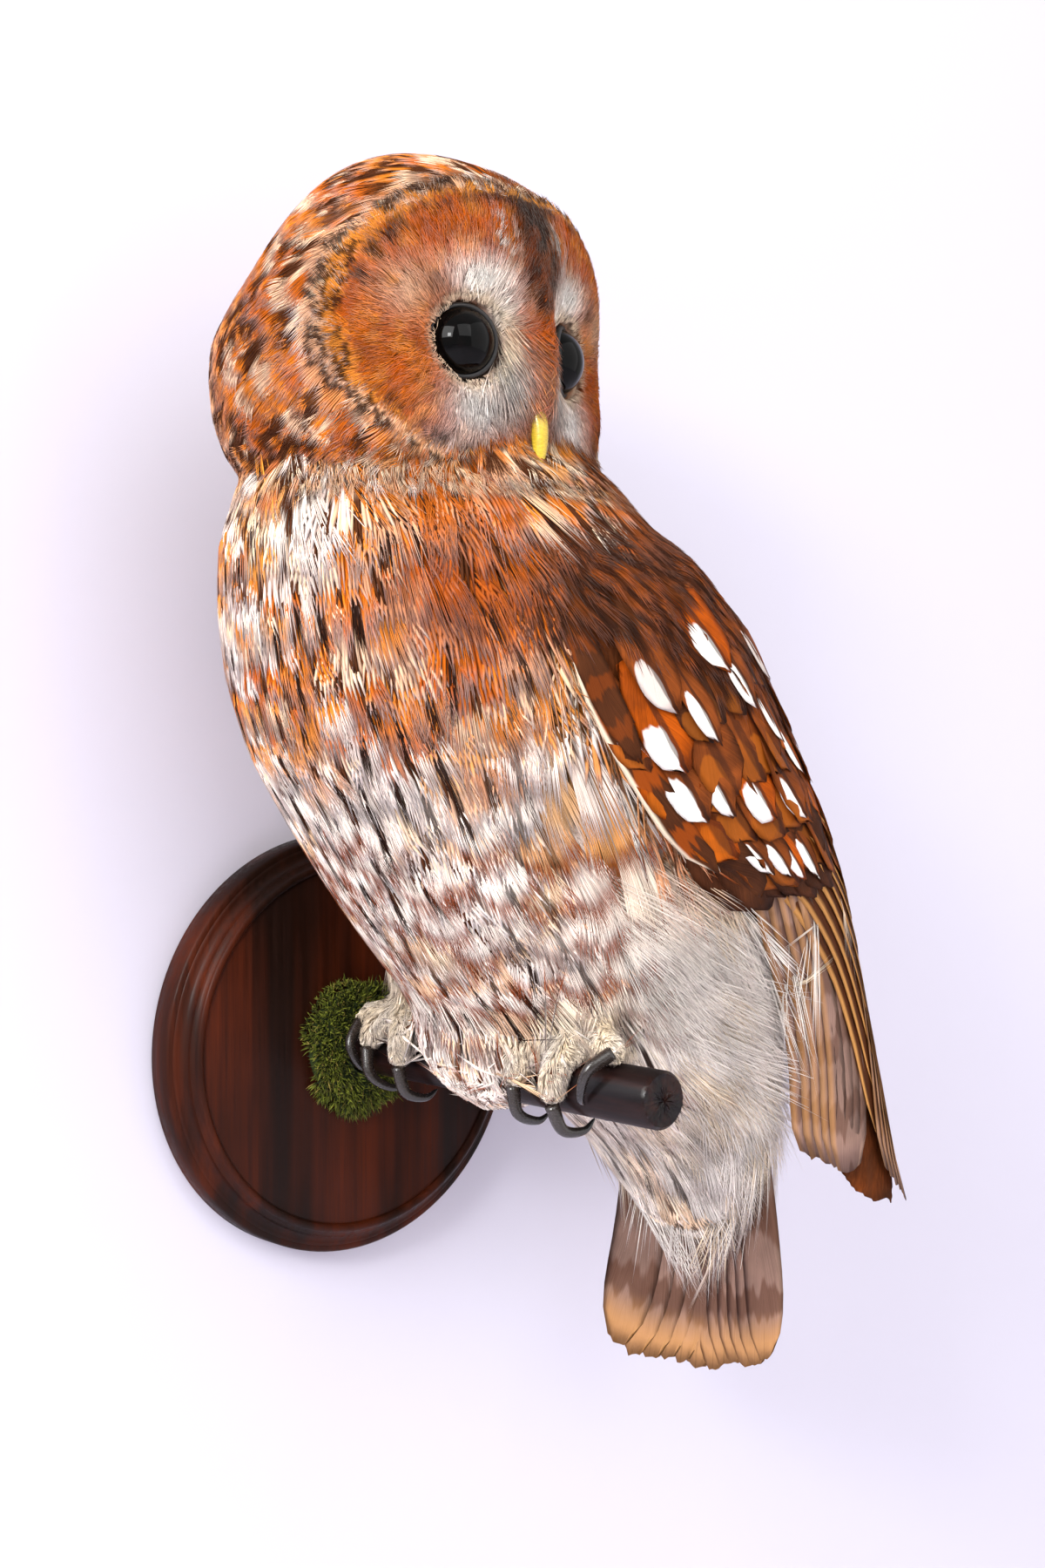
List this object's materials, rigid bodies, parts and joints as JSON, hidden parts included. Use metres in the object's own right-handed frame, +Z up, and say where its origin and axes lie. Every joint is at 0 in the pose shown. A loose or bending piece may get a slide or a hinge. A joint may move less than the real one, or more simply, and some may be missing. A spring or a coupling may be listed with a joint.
{
  "type": "taxidermy tawny owl",
  "caption": "Taxidermy owl with folded wings and turned head, its feathered feet gripping a round peg that stands out of a moulded wooden wall plaque with a cushion of moss",
  "frame": {"origin": "centre of the plaque's flat back, which lies on the wall", "axes": "+Y into the wall, +Z up, +X to the right for someone who faces the wall. The peg stands out along -Y. The owl's body faces -X and its face -Y."},
  "size_m": [0.2283, 0.1753, 0.3789],
  "materials": {
    "plumage": "soft mottled orange-brown, buff and white feathers with dark shaft streaks",
    "face": "fine radiating rufous feathers with grey-white round the bill and eyes",
    "wing": "dark rufous-brown feathers with dark streaks and white spots",
    "tail": "pale grey-brown feathers with darker blotched bars and rufous edges",
    "down": "short cream feathers",
    "eye": "polished black artificial eye",
    "bill": "yellow horn, satin",
    "claw": "black horn, glossy",
    "plaque": "dark red-brown stain under satin varnish",
    "peg": "dark stain, rough end grain",
    "moss": "dry green moss"
  },
  "bodies": {
    "root": {"plaque": "plaque", "peg": "peg", "moss": "moss", "eye_right": "eye", "eye_left": "eye", "bill_upper": "bill", "bill_lower": "bill", "facial_disc": "face", "head": "plumage", "neck": "plumage", "trunk": "plumage", "wing_right": "wing", "wing_left": "wing", "tail": "tail", "leg_right": "down", "leg_left": "down", "foot_right": "down", "foot_left": "down", "claw_right_1": "claw", "claw_right_2": "claw", "claw_right_3": "claw", "claw_right_4": "claw", "claw_left_1": "claw", "claw_left_2": "claw", "claw_left_3": "claw", "claw_left_4": "claw"}
  },
  "joints": []
}
